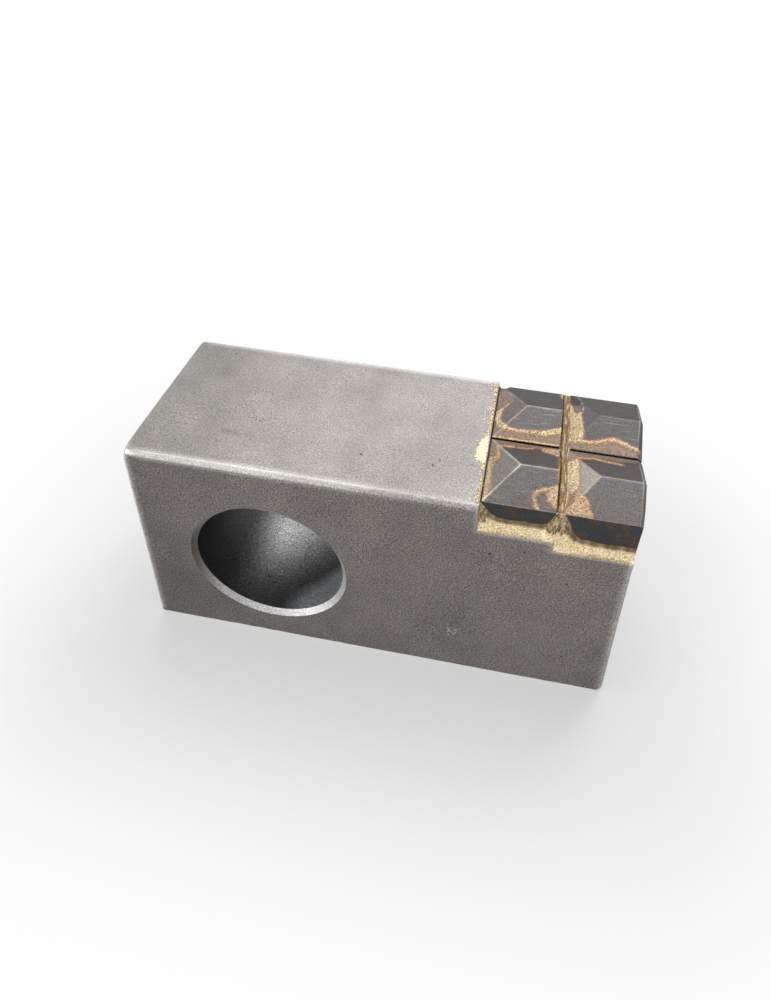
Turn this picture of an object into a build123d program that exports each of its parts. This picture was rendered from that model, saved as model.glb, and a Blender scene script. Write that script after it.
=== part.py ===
from build123d import *
import os

# Crusher hammer: a forged steel block that hangs on a pin through its bore, with four carbide tips
# brazed into a stepped pocket at its striking end.
# The origin is the middle of the pin bore. X points to the striking end, Y along the pin, Z up.

os.makedirs("parts", exist_ok=True)

# Steel block
block_length = 196.0
block_depth = 72.0
block_height = 100.0
edge_radius = 2.0
foot_chamfer = 2.0  # underside edge at the striking end

# Pin bore
bore_diameter = 62.0
bore_mouth_chamfer = 2.0
bore_to_plain_end = 54.5
bore_to_top = 53.5

# Carbide tips: two in a row along X, two rows along Y, each a block under a hipped roof
inner_tip_length = 27.0
outer_tip_length = 29.5
inner_tip_wall = 12.0  # from the sole to the eaves
outer_tip_wall = 16.5
roof_rise = 5.0
hip_run = 12.5
end_overhang = 2.2  # how far the outer tips stand out past the end of the block
end_lean = 1.0  # how far their end faces lean outwards, from sole to ridge
end_bevel = 2.0
tip_corner_radius = 0.6

# Braze between the tips and the steel
braze_film = 0.5
column_seam = 3.0
row_seam = 1.0
seam_sink = 0.5  # how far the seams stay below the eaves
ledge_width = 3.5  # steel left free in front of the tips and behind them
ledge_climb = 5.0  # how high the braze climbs the tips above the ledge
ledge_lip = 0.4
corner_climb = 2.6  # reach of the braze in the upright corner of the pocket
run_out_width = 3.0  # how far the braze from the column seam spreads over each tip
run_out_thickness = 1.2
run_out_taper = 30
end_gap = 0.3  # from the end of the braze to the end of the block

# Places that follow from the sizes
plain_end_x = -bore_to_plain_end
striking_end_x = plain_end_x + block_length
top_z = bore_to_top
side_y = block_depth / 2

tip_width = (block_depth - 2 * ledge_width - row_seam) / 2
ridge_y = (row_seam + tip_width) / 2
tip_face_y = side_y - ledge_width

outer_tip_x = striking_end_x + end_overhang - outer_tip_length
inner_tip_end_x = outer_tip_x - column_seam
inner_tip_x = inner_tip_end_x - inner_tip_length
pocket_x = inner_tip_x - braze_film
step_x = inner_tip_end_x + braze_film
inner_seat_z = top_z - inner_tip_wall - braze_film
outer_seat_z = top_z - outer_tip_wall - braze_film
seam_z = top_z - seam_sink


# Block with its stepped pocket and its bore
with BuildPart() as hammer_body:
    with BuildSketch(Plane.XZ) as side_view:
        with Locations((plain_end_x, top_z)):
            Rectangle(block_length, block_height, align=(Align.MIN, Align.MAX))
    extrude(amount=side_y, both=True)
    foot_edge = hammer_body.edges().filter_by(Axis.Y).group_by(Axis.X)[-1].sort_by(Axis.Z)[0]
    chamfer(foot_edge, foot_chamfer)
    fillet(hammer_body.edges(), radius=edge_radius)

    with BuildSketch(Plane.XZ) as pocket:
        with Locations((pocket_x, inner_seat_z)):
            Rectangle(striking_end_x - pocket_x, top_z - inner_seat_z, align=Align.MIN)
        with Locations((step_x, outer_seat_z)):
            Rectangle(striking_end_x - step_x, top_z - outer_seat_z, align=Align.MIN)
    extrude(amount=side_y, both=True, mode=Mode.SUBTRACT)

    with BuildSketch(Plane.XZ) as bore:
        Circle(bore_diameter / 2)
    extrude(amount=side_y, both=True, mode=Mode.SUBTRACT)
    bore_mouths = hammer_body.edges().filter_by(GeomType.CIRCLE).sort_by(SortBy.RADIUS)[-2:]
    chamfer(bore_mouths, bore_mouth_chamfer)

hammer_body.part.label = "hammer_body"
export_step(hammer_body.part, "parts/hammer_body.step")


def carbide_tip(start_x, middle_y, length, wall_height):
    """One tip: a gabled bar along X, cut to a hip on the side of the bore."""
    across = Plane(origin=(start_x, middle_y, top_z), x_dir=(0, 1, 0), z_dir=(1, 0, 0))
    along = Plane(origin=(start_x, middle_y, top_z), x_dir=(1, 0, 0), z_dir=(0, -1, 0))
    with BuildPart() as tip:
        with BuildSketch(across) as gable:
            with BuildLine() as outline:
                Polyline(
                    (-tip_width / 2, 0),
                    (-tip_width / 2, -wall_height),
                    (tip_width / 2, -wall_height),
                    (tip_width / 2, 0),
                    (0, roof_rise),
                    close=True,
                )
            make_face()
        extrude(amount=length)
        with BuildSketch(along) as hip:
            with BuildLine() as hip_outline:
                Polyline((0, 0), (hip_run, roof_rise), (0, roof_rise), close=True)
            make_face()
        extrude(amount=tip_width / 2, both=True, mode=Mode.SUBTRACT)

        # The free end of an outer tip leans outwards and has bevelled roof edges
        if start_x + length > striking_end_x:
            with BuildSketch(along) as lean:
                with BuildLine() as lean_outline:
                    Polyline(
                        (length - end_lean, -wall_height),
                        (length, -wall_height),
                        (length, roof_rise),
                        close=True,
                    )
                make_face()
            extrude(amount=tip_width / 2, both=True, mode=Mode.SUBTRACT)
            chamfer(tip.faces().sort_by(Axis.X)[-1].edges().sort_by(Axis.Z)[-2:], end_bevel)
        corners = tip.edges().filter_by(lambda edge: abs((edge % 0.5).Z) > 0.9)
        fillet(corners, radius=tip_corner_radius)
    return tip


tips = {
    "carbide_tip_inner_front": carbide_tip(inner_tip_x, -ridge_y, inner_tip_length, inner_tip_wall),
    "carbide_tip_inner_rear": carbide_tip(inner_tip_x, ridge_y, inner_tip_length, inner_tip_wall),
    "carbide_tip_outer_front": carbide_tip(outer_tip_x, -ridge_y, outer_tip_length, outer_tip_wall),
    "carbide_tip_outer_rear": carbide_tip(outer_tip_x, ridge_y, outer_tip_length, outer_tip_wall),
}
for name, tip in tips.items():
    tip.part.label = name
    export_step(tip.part, f"parts/{name}.step")


# Braze: what is left of the pocket around the tips, frozen as one piece.
# The front half is made and mirrored.
seats = [
    (pocket_x, step_x, inner_seat_z),
    (step_x, striking_end_x - end_gap, outer_seat_z),
]
with BuildPart() as braze_filler:
    for start_x, end_x, seat_z in seats:
        # Bed, seams and the meniscus on the ledge, cut across the hammer
        lip_z = seat_z + ledge_lip
        climb_z = lip_z + ledge_climb
        with BuildSketch(Plane.YZ.offset(start_x)) as section:
            with BuildLine() as outline:
                Polyline(
                    (-side_y, lip_z),
                    (-side_y, seat_z),
                    (0, seat_z),
                    (0, seam_z),
                    (-tip_face_y, seam_z),
                    (-tip_face_y, climb_z),
                )
                EllipticalCenterArc(
                    (-side_y, climb_z), ledge_width, ledge_climb, start_angle=270, arc_size=90
                )
            make_face()
        extrude(amount=end_x - start_x)

    # Upright corner between the wall of the pocket and the first tip
    with BuildSketch(Plane.XY.offset(inner_seat_z)) as corner:
        with BuildLine() as corner_outline:
            Polyline(
                (pocket_x + corner_climb, -tip_face_y),
                (pocket_x, -tip_face_y),
                (pocket_x, -tip_face_y - corner_climb),
            )
            corner_centre = (pocket_x + corner_climb, -tip_face_y - corner_climb)
            CenterArc(corner_centre, corner_climb, start_angle=90, arc_size=90)
        make_face()
    extrude(amount=seam_z - inner_seat_z)

    # Braze that ran out of the seam between the columns and widened on its way down
    with BuildSketch(Plane.XZ.offset(tip_face_y)) as run_out:
        with BuildLine() as run_out_outline:
            Polyline(
                (inner_tip_end_x, seam_z),
                (inner_tip_end_x - run_out_width, inner_seat_z),
                (step_x, inner_seat_z),
                (step_x, outer_seat_z),
                (outer_tip_x + run_out_width, outer_seat_z),
                (outer_tip_x, seam_z),
                close=True,
            )
        make_face()
    extrude(amount=run_out_thickness, taper=run_out_taper)

    mirror(about=Plane.XZ)

    # The ends of the ledges follow the rounded corners of the block
    with BuildSketch(Plane.XY.offset(outer_seat_z)) as plan:
        with Locations((plain_end_x, 0)):
            Rectangle(block_length, block_depth, align=(Align.MIN, Align.CENTER))
        fillet(plan.vertices(), radius=edge_radius)
    extrude(amount=top_z - outer_seat_z, mode=Mode.INTERSECT)

    for tip in tips.values():
        add(tip.part, mode=Mode.SUBTRACT)

    # None of it is left under the bevels at the free end
    with Locations([(striking_end_x, middle_y, top_z) for middle_y in (-ridge_y, ridge_y)]):
        Box(2 * end_bevel, tip_width, 2 * end_bevel, mode=Mode.SUBTRACT)

braze_filler.part.label = "braze_filler"
export_step(braze_filler.part, "parts/braze_filler.step")
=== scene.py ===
from math import radians

import bmesh
import bpy
import numpy as np
from mathutils import Matrix, Vector, noise


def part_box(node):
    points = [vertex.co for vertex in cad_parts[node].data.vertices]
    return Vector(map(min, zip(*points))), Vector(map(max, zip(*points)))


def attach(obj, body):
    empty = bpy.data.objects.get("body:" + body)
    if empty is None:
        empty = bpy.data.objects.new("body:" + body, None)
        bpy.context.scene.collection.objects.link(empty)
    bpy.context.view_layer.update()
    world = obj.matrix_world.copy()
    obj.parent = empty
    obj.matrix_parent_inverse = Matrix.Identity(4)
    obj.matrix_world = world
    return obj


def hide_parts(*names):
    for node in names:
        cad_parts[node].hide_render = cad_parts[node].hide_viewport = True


# Crusher hammer: a shot-blasted steel block with four ground carbide tips, brazed into its stepped pocket.
# Frame as in the CAD: the origin is the middle of the pin bore, X to the striking end, Y along the pin, Z up.
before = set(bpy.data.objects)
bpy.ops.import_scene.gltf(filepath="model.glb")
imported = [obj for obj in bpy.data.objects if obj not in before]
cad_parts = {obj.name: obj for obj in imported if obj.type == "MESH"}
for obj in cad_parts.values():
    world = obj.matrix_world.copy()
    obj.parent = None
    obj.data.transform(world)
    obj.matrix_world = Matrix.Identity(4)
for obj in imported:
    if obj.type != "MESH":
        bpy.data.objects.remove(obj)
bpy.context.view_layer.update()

MM = 0.001
INNER_TIPS = ("carbide_tip_inner_front", "carbide_tip_inner_rear")
OUTER_TIPS = ("carbide_tip_outer_front", "carbide_tip_outer_rear")
TIPS = INNER_TIPS + OUTER_TIPS


def box_mm(node):
    """Lowest and highest corner of a CAD node, in millimetres."""
    return [np.array(corner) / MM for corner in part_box(node)]


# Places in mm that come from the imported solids
body_low, body_high = box_mm("hammer_body")
braze_low, braze_high = box_mm("braze_filler")
tip_boxes = {name: box_mm(name) for name in TIPS}
inner_low, inner_high = tip_boxes["carbide_tip_inner_front"]
outer_low = tip_boxes["carbide_tip_outer_front"][0]
top_z = body_high[2]
side_y = body_high[1]
pocket_x = braze_low[0]
tip_face_y = -inner_low[1]
seam_half = -inner_high[1]  # half of the seam between the two rows
roof_rise = inner_high[2] - top_z
braze_film = inner_low[0] - pocket_x
step_x = inner_high[0] + braze_film
inner_seat_z = inner_low[2] - braze_film
outer_seat_z = outer_low[2] - braze_film
seam_z = braze_high[2]

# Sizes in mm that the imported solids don't give by themselves
bore_radius = 31.0
bore_mouth = 2.0
mouth_radius = bore_radius + bore_mouth
edge_radius = 2.0
hip_run = 12.5
end_lean = 1.0  # of the outer tips' end faces, from sole to ridge
end_bevel = 1.5  # of the outer tips' roofs, at their free end
ledge_bevel = 0.4  # broken edges of the pocket
NEAR = 0.05  # a point this close to a face counts as on it


# Helpers


def linear(hex_colour):
    """An sRGB hex colour as linear RGBA."""
    parts = [int(hex_colour[i : i + 2], 16) / 255 for i in (1, 3, 5)]
    return [p / 12.92 if p <= 0.04045 else ((p + 0.055) / 1.055) ** 2.4 for p in parts] + [1.0]


def add(tree, kind, given=None):
    """Adds a node with the given properties and inputs, values or links, and gives its first live output."""
    node = tree.nodes.new(kind)
    for key, value in (given or {}).items():
        if isinstance(key, str) and hasattr(node, key):
            setattr(node, key, value)
            continue
        by_name = (s for s in node.inputs if s.name == key and s.enabled)
        socket = node.inputs[key] if isinstance(key, int) else next(by_name)
        if isinstance(value, bpy.types.NodeSocket):
            tree.links.new(value, socket)
        elif isinstance(value, str) and value.startswith("#"):
            socket.default_value = linear(value)
        else:
            socket.default_value = value
    return next((s for s in node.outputs if s.enabled), None)


def new_material(name):
    """An empty material, and a coordinate in object millimetres."""
    material = bpy.data.materials.new(name)
    material.use_nodes = True
    tree = material.node_tree
    tree.nodes.clear()
    where = add(tree, "ShaderNodeTexCoord").node.outputs["Object"]
    place = add(tree, "ShaderNodeMapping", {"Vector": where, "Scale": (1 / MM,) * 3})
    return material, tree, place


def metal_surface(tree, colour, matt, grit, strength, depth):
    """Ends a metal: its colour, its roughness, and its grit as a bump of that depth in mm."""
    bump = add(tree, "ShaderNodeBump", {"Strength": strength, "Distance": depth * MM, "Height": grit})
    surface = {"Metallic": 1.0, "Base Color": colour, "Roughness": matt, "Normal": bump}
    add(tree, "ShaderNodeOutputMaterial", {"Surface": add(tree, "ShaderNodeBsdfPrincipled", surface)})


def looked_at(tree):
    """1 for what the camera sees, straight or in a gloss, and 0 for what only lights the hammer."""
    path = add(tree, "ShaderNodeLightPath").node.outputs
    shiny = {"operation": "MAXIMUM", 0: path["Is Glossy Ray"], 1: path["Is Transmission Ray"]}
    seen = {"operation": "MAXIMUM", 0: path["Is Camera Ray"], 1: add(tree, "ShaderNodeMath", shiny)}
    return add(tree, "ShaderNodeMath", seen)


def smooth(value, low, high):
    """0 below low, 1 above high, smooth between."""
    t = np.clip((value - low) / (high - low), 0, 1)
    return t * t * (3 - 2 * t)


def wobble(points, size, seed):
    """Noise from -1 to 1 at points in mm, with features of that size."""
    return np.array([noise.noise(Vector(p) / size + Vector((seed, 0, 0))) for p in points])


def reach(points, path, closed):
    """Distance from each plan point to a path; where it is closed, positive inside and negative outside."""
    path = np.array(path, float)
    ends = np.roll(path, -1, 0)
    if not closed:
        path, ends = path[:-1], ends[:-1]
    run = ends - path
    away = points[:, None, :] - path[None]
    share = np.clip((away * run).sum(2) / (run * run).sum(1), 0, 1)
    distance = np.linalg.norm(away - share[..., None] * run, axis=2).min(1)
    if not closed:
        return distance
    x, y = points[:, 0:1], points[:, 1:2]
    crosses = (path[:, 1] > y) != (ends[:, 1] > y)
    with np.errstate(divide="ignore", invalid="ignore"):
        at = path[:, 0] + (y - path[:, 1]) * run[:, 0] / run[:, 1]
    inside = ((x < at) & crosses).sum(1) % 2 == 1
    return np.where(inside, distance, -distance)


def store(mesh, name, values):
    """Keeps one number per vertex as an attribute."""
    mesh.attributes.new(name, "FLOAT", "POINT").data.foreach_set("value", np.asarray(values, np.float32))


def vertices_mm(mesh):
    flat = np.zeros(len(mesh.vertices) * 3, np.float32)
    mesh.vertices.foreach_get("co", flat)
    return flat.reshape(-1, 3).astype(float) / MM


def set_vertices_mm(mesh, points):
    mesh.vertices.foreach_set("co", (points * MM).astype(np.float32).ravel())
    mesh.update()


def linked(name, mesh):
    """A new object in the scene, at the origin."""
    piece = bpy.data.objects.new(name, mesh)
    bpy.context.scene.collection.objects.link(piece)
    return piece


def finish_piece(mesh, name, material, slot, *nodes, crease=40):
    """The finished piece, smooth but for edges sharper than crease degrees, in place of the named nodes."""
    mesh.materials.clear()
    mesh.materials.append(material)
    mesh.shade_smooth()
    mesh.set_sharp_from_angle(angle=radians(crease))
    piece = linked(name, mesh)
    if nodes:
        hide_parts(*nodes)
    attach(piece, "root")
    return piece


def grown(piece, tree, values):
    """Gives the piece a geometry nodes modifier with values for the named inputs of its tree."""
    modifier = piece.modifiers.new("shape", "NODES")
    modifier.node_group = tree
    for socket in tree.interface.items_tree:
        if socket.in_out == "INPUT" and socket.name in values:
            modifier[socket.identifier] = values[socket.name]


def new_shape(name, **kinds):
    """An empty geometry nodes tree that makes one shape, with its inputs by kind, and their values."""
    tree = bpy.data.node_groups.new(name, "GeometryNodeTree")
    for kind, names in kinds.items():
        for input_name in names:
            tree.interface.new_socket(input_name, in_out="INPUT", socket_type="NodeSocket" + kind)
    tree.interface.new_socket("Shape", in_out="OUTPUT", socket_type="NodeSocketGeometry")
    return tree, {socket.name: socket for socket in add(tree, "NodeGroupInput").node.outputs}


def end_shape(tree, geometry, finish):
    """Ends such a tree with its geometry, in one material."""
    whole = add(tree, "GeometryNodeRealizeInstances", {"Geometry": geometry})
    finished = add(tree, "GeometryNodeSetMaterial", {"Geometry": whole, "Material": finish})
    add(tree, "NodeGroupOutput", {"Shape": finished})
    return tree


def applied(piece, name):
    """The piece's mesh with its modifiers applied, as a plain mesh, and the helper object removed."""
    bpy.context.view_layer.update()
    graph = bpy.context.evaluated_depsgraph_get()
    mesh = bpy.data.meshes.new_from_object(piece.evaluated_get(graph))
    mesh.name = name
    bpy.data.objects.remove(piece)
    return mesh


# Materials
# A pattern is given by its size in mm, its detail and its roughness. The real grit of all three metals is
# too fine to show in the render, so it is drawn as coarse as it needs to show, at 0.5 to 0.75 mm.
# A tone is a dark and a light colour that the grit mixes. A layer is a cover from 0 to 1, and the colour
# that it lays over the ones before.


def blasted_steel():
    """Forged alloy steel, shot-blasted: matt grey with an even grit, calm on the top and coarse on the sides,
    faint clouds and pale edges, partly worn and partly painted highlight. The sides are painted darker
    than the top, and all of it darker towards the plain end, as painted shade. The bore is machined:
    cooler, darker and smoother, painted with light and shade inside, and its chamfer painted darker
    towards the plain end as shade."""
    material, tree, place = new_material("shot_blasted_forged_steel")
    grit, fleck, patch, cloud = (
        add(
            tree,
            "ShaderNodeTexNoise",
            {"Vector": place, "Scale": 1 / size, "Detail": detail, "Roughness": rough},
        )
        for size, detail, rough in ((0.62, 2, 0.65), (0.75, 1, 0.5), (8, 3, 0.6), (24, 4, 0.6))
    )
    edge, calm, mark = (
        add(tree, "ShaderNodeAttribute", {"attribute_name": name}).node.outputs["Fac"]
        for name in ("edge", "calm", "mark")
    )
    axes = add(tree, "ShaderNodeSeparateXYZ", {"Vector": place}).node.outputs

    # The bore, and the turned chamfer at each of its mouths
    across = add(tree, "ShaderNodeCombineXYZ", {"X": axes["X"], "Z": axes["Z"]})
    radius = add(tree, "ShaderNodeVectorMath", {"operation": "LENGTH", 0: across})
    mouth, bored = (
        add(tree, "ShaderNodeMath", {"operation": "LESS_THAN", 0: radius, 1: limit})
        for limit in (mouth_radius, bore_radius + 0.02)
    )

    # Contrast of the grit: from place to place, and calmer on the top
    contrast = {0: patch, "From Min": 0.35, "From Max": 0.65, "To Min": 0.7, "To Max": 1.3}
    rough = add(tree, "ShaderNodeMapRange", contrast)
    side = add(tree, "ShaderNodeMapRange", {0: calm, "To Min": 3.4, "To Max": 2.1})
    gain = add(tree, "ShaderNodeMath", {"operation": "MULTIPLY", 0: rough, 1: side})
    swing = add(tree, "ShaderNodeMath", {"operation": "SUBTRACT", 0: grit, 1: 0.5})
    middling = {"operation": "MULTIPLY_ADD", "use_clamp": True, 0: swing, 1: gain, 2: 0.5}
    share = add(tree, "ShaderNodeMath", middling)
    flecks = add(tree, "ShaderNodeMapRange", {0: fleck, "From Min": 0.58, "From Max": 0.74, "To Max": 0.6})
    bare = add(tree, "ShaderNodeMapRange", {0: calm, "To Min": 0.45, "To Max": 0.2})
    fleck_share = add(tree, "ShaderNodeMath", {"operation": "MULTIPLY", 0: flecks, 1: bare})

    # The side tone is darker than the top tone: painted shade on the sides
    tones = {
        "top": ("#6d6a68", "#b3afab"),
        "side": ("#575351", "#9a9591"),
        # The pale edge tone: wear and painted highlight
        "worn_sheen": ("#b4b0ac", "#efedea"),
        "turned": ("#a6a5a5", "#d8d8da"),
        # Bore tones: the paler inner one is painted light, and the very pale worn one a painted pool of light
        "outer bore": ("#3f3f3f", "#7d7d7d"),
        "inner bore": ("#5a5a5a", "#a4a5a4"),
        "worn bore": ("#a3a6ab", "#f0f2f6"),
    }
    tone = {
        name: add(tree, "ShaderNodeMix", {"data_type": "RGBA", 0: share, 6: dark, 7: light})
        for name, (dark, light) in tones.items()
    }

    # The chamfer is painted darker on the side of the plain end: painted shade
    dull = add(tree, "ShaderNodeMapRange", {0: axes["X"], "From Min": -32, "From Max": -21})
    cut = add(tree, "ShaderNodeMix", {"data_type": "RGBA", 0: dull, 6: "#69645f", 7: tone["turned"]})

    # The bore is painted with light and shade: paler deep inside as painted light, darker to the plain end
    # and near its mouths as painted shade, and very pale by each mouth towards the striking end as a painted
    # pool of light
    deep = add(tree, "ShaderNodeMath", {"operation": "ABSOLUTE", 0: axes["Y"]})
    painted_deep_light = add(tree, "ShaderNodeMapRange", {0: deep, "From Min": 20, "From Max": 5})
    left = add(tree, "ShaderNodeMapRange", {0: axes["X"], "From Min": -9, "From Max": -23, "To Max": 0.75})
    # outer darkens the bore near its mouths: painted shade
    outer = add(tree, "ShaderNodeMapRange", {0: deep, "From Min": 19, "From Max": 29, "To Max": 0.5})
    painted_bore_shade = add(tree, "ShaderNodeMath", {"operation": "MAXIMUM", 0: left, 1: outer})
    slanted = add(tree, "ShaderNodeMath", {"operation": "MULTIPLY_ADD", 0: axes["X"], 1: 0.45, 2: deep})
    light_pool_by_mouth = add(tree, "ShaderNodeMapRange", {0: slanted, "From Min": 25, "From Max": 34, "To Max": 0.95})
    light_pool_side = add(tree, "ShaderNodeMapRange", {0: axes["X"], "From Min": 2, "From Max": 14})
    # worn is the painted pool of light by the mouth
    worn = add(tree, "ShaderNodeMath", {"operation": "MULTIPLY", 0: light_pool_by_mouth, 1: light_pool_side})
    wall = tone["outer bore"]
    for cover, over in ((painted_deep_light, tone["inner bore"]), (painted_bore_shade, "#2f2f2f"), (worn, tone["worn bore"])):
        wall = add(tree, "ShaderNodeMix", {"data_type": "RGBA", 0: cover, 6: wall, 7: over})

    metal = tone["side"]
    skins = ((calm, tone["top"]), (fleck_share, "#dcd9d6"), (edge, tone["worn_sheen"]))
    for cover, over in skins + ((mouth, cut), (bored, wall), (mark, "#3d3936")):
        metal = add(tree, "ShaderNodeMix", {"data_type": "RGBA", 0: cover, 6: metal, 7: over})
    clouds = {0: cloud, "From Min": 0.3, "From Max": 0.7, "To Min": 0.82, "To Max": 1.1}
    # Darker towards the plain end: painted shade
    painted_falloff = {"interpolation_type": "SMOOTHSTEP", "From Min": -60, "From Max": 15, "To Min": 0.78}
    cloudy = add(tree, "ShaderNodeMapRange", clouds)
    painted_falloff_share = add(tree, "ShaderNodeMapRange", {**painted_falloff, 0: axes["X"]})
    shade = add(tree, "ShaderNodeMath", {"operation": "MULTIPLY", 0: cloudy, 1: painted_falloff_share})
    colour = add(tree, "ShaderNodeVectorMath", {"operation": "SCALE", 0: metal, "Scale": shade})
    matt = add(tree, "ShaderNodeMapRange", {0: share, "To Min": 0.56, "To Max": 0.68})
    for cover, roughness in ((edge, 0.44), (mouth, 0.5), (bored, 0.47)):
        matt = add(tree, "ShaderNodeMix", {"data_type": "FLOAT", 0: cover, 2: matt, 3: roughness})
    metal_surface(tree, colour, matt, grit, 0.5, 0.07)
    return material


def ground_carbide():
    """Cemented tungsten carbide, ground: dark grey with a dull lustre, mottled blue and brown by the torch,
    scratched, and tinted where the braze flowed over it. Its hips are painted paler as sheen, its edges
    carry pale lines that are partly wear and partly painted highlight, and its walls and the slopes on the
    rear side of its ridges are painted darker as shade."""
    material, tree, place = new_material("ground_cemented_carbide")
    grit, speck, ragged, stain = (
        add(
            tree,
            "ShaderNodeTexNoise",
            {"Vector": place, "Scale": 1 / size, "Detail": detail, "Roughness": rough},
        )
        for size, detail, rough in ((0.5, 3, 0.7), (0.6, 2, 0.6), (1.2, 3, 0.6), (5, 3, 0.6))
    )
    scratch_length, scratch_width, scratch_turn = 9, 0.35, radians(-32)
    stretch = (1 / scratch_length, 1 / scratch_width, 1 / scratch_width)
    turned = {"Vector": place, "Rotation": (0, 0, scratch_turn), "Scale": stretch}
    lines = add(tree, "ShaderNodeMapping", turned)
    scratch_and_glint = add(tree, "ShaderNodeTexNoise", {"Vector": lines, "Scale": 1.0, "Detail": 1})
    fac = {
        name: add(tree, "ShaderNodeAttribute", {"attribute_name": name}).node.outputs["Fac"]
        for name in ("film", "copper", "cover", "oxide", "ridge", "hip", "rear_shade_and_dark", "wall")
    }

    # Edges of the film and of the oxide wander, the film's by the grit too
    shift = add(tree, "ShaderNodeMapRange", {0: ragged, "To Min": -1.1, "To Max": 1.1})
    grain = add(tree, "ShaderNodeMapRange", {0: grit, "To Min": -0.8, "To Max": 0.8})
    wander = add(tree, "ShaderNodeMath", {"operation": "ADD", 0: shift, 1: grain})
    film_at = add(tree, "ShaderNodeMath", {"operation": "ADD", 0: fac["film"], 1: wander})
    oxide_at = add(tree, "ShaderNodeMath", {"operation": "ADD", 0: fac["oxide"], 1: shift})

    # What each share follows, where it starts and ends, and how much it is at most
    ranges = {
        "tint": (film_at, -1.4, -0.2, 0.45),
        "fringe": (film_at, -0.45, -0.05, 0.8),
        "film": (film_at, -0.05, 0.35, 1),
        "oxide": (oxide_at, -0.9, 0.7, 0.8),
        "grit": (grit, 0.3, 0.7, 1),
        "stain": (stain, 0.38, 0.62, 1),
        "scratch_and_glint": (scratch_and_glint, 0.66, 0.74, 0.35),
        "speck": (speck, 0.54, 0.63, 0.8),
        "uneven": (ragged, 0.48, 0.62, 0.7),
        "rust": (stain, 0.5, 0.62, 0.8),
    }
    share = {
        name: add(tree, "ShaderNodeMapRange", {0: value, "From Min": start, "From Max": end, "To Max": most})
        for name, (value, start, end, most) in ranges.items()
    }
    for name in ("fringe", "film"):
        share[name] = add(tree, "ShaderNodeMath", {"operation": "MULTIPLY", 0: share[name], 1: fac["cover"]})

    tones = {
        "blue": ("#434344", "#737374"),
        "brown": ("#433f3c", "#76706b"),
        "pale": ("#625f5b", "#a8a196"),
        "oxide": ("#32281f", "#ab9688"),
        "fringe": ("#5c4838", "#c0956f"),
        "yellow": ("#8a7957", "#e0d3b1"),
        "peach": ("#785e50", "#c6ab93"),
        "dull": ("#66533c", "#ab916e"),
        "black": ("#242628", "#515456"),
        "ruddy": ("#30231d", "#6f5b50"),
    }
    tone = {
        name: add(tree, "ShaderNodeMix", {"data_type": "RGBA", 0: share["grit"], 6: dark, 7: light})
        for name, (dark, light) in tones.items()
    }
    film = tone["yellow"]
    spots = ((share["uneven"], tone["dull"]), (share["speck"], "#544129"))
    for cover, over in ((fac["copper"], tone["peach"]),) + spots:
        film = add(tree, "ShaderNodeMix", {"data_type": "RGBA", 0: cover, 6: film, 7: over})
    # The walls are painted near black, as painted shade, with ruddy rust in places
    wall = {"data_type": "RGBA", 0: share["rust"], 6: tone["black"], 7: tone["ruddy"]}
    dark_cover = add(tree, "ShaderNodeMix", wall)
    layers = (
        (share["stain"], tone["brown"]),
        # The hips painted paler: painted sheen
        (fac["hip"], tone["pale"]),
        # Painted shade on the rear slopes, and darker patches
        (fac["rear_shade_and_dark"], "#3c3a39"),
        (share["scratch_and_glint"], "#a9a6a4"),
        (share["oxide"], tone["oxide"]),
        (share["tint"], "#7b5c48"),
        (share["fringe"], tone["fringe"]),
        (share["film"], film),
        # The pale lines: wear and painted highlight
        (fac["ridge"], "#d6d3cf"),
        (fac["wall"], dark_cover),
    )
    colour = tone["blue"]
    for cover, over in layers:
        colour = add(tree, "ShaderNodeMix", {"data_type": "RGBA", 0: cover, 6: colour, 7: over})
    matt = add(tree, "ShaderNodeMapRange", {0: share["grit"], "To Min": 0.42, "To Max": 0.55})
    metal_surface(tree, colour, matt, grit, 0.35, 0.06)
    return material


def torch_braze():
    """Brass brazing alloy as it froze: a grainy pale yellow with dark specks, brown with oxide in the seams
    and where it runs thin."""
    material, tree, place = new_material("torch_brazed_brass")
    grit, speck, blotch = (
        add(
            tree,
            "ShaderNodeTexNoise",
            {"Vector": place, "Scale": 1 / size, "Detail": detail, "Roughness": rough},
        )
        for size, detail, rough in ((0.6, 4, 0.7), (0.55, 2, 0.6), (2.2, 2, 0.5))
    )
    oxide = add(tree, "ShaderNodeAttribute", {"attribute_name": "oxide"}).node.outputs["Fac"]
    share = add(tree, "ShaderNodeMapRange", {0: grit, "From Min": 0.3, "From Max": 0.64})
    shift = add(tree, "ShaderNodeMapRange", {0: grit, "To Min": -0.35, "To Max": 0.35})
    oxide_at = add(tree, "ShaderNodeMath", {"operation": "ADD", "use_clamp": True, 0: oxide, 1: shift})
    specks = add(tree, "ShaderNodeMapRange", {0: speck, "From Min": 0.56, "From Max": 0.66, "To Max": 0.7})
    redder = add(tree, "ShaderNodeMapRange", {0: blotch, "From Min": 0.43, "From Max": 0.56, "To Max": 0.85})
    bright, olive, russet = (
        add(tree, "ShaderNodeMix", {"data_type": "RGBA", 0: share, 6: dark, 7: light})
        for dark, light in (("#c2a676", "#fff0d0"), ("#30281b", "#927e53"), ("#33261f", "#8a6d59"))
    )
    brown = add(tree, "ShaderNodeMix", {"data_type": "RGBA", 0: redder, 6: olive, 7: russet})
    metal = add(tree, "ShaderNodeMix", {"data_type": "RGBA", 0: oxide_at, 6: bright, 7: brown})
    colour = add(tree, "ShaderNodeMix", {"data_type": "RGBA", 0: specks, 6: metal, 7: "#54462f"})
    matt = add(tree, "ShaderNodeMapRange", {0: share, "To Min": 0.65, "To Max": 0.5})
    metal_surface(tree, colour, matt, grit, 0.6, 0.12)
    return material


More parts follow.
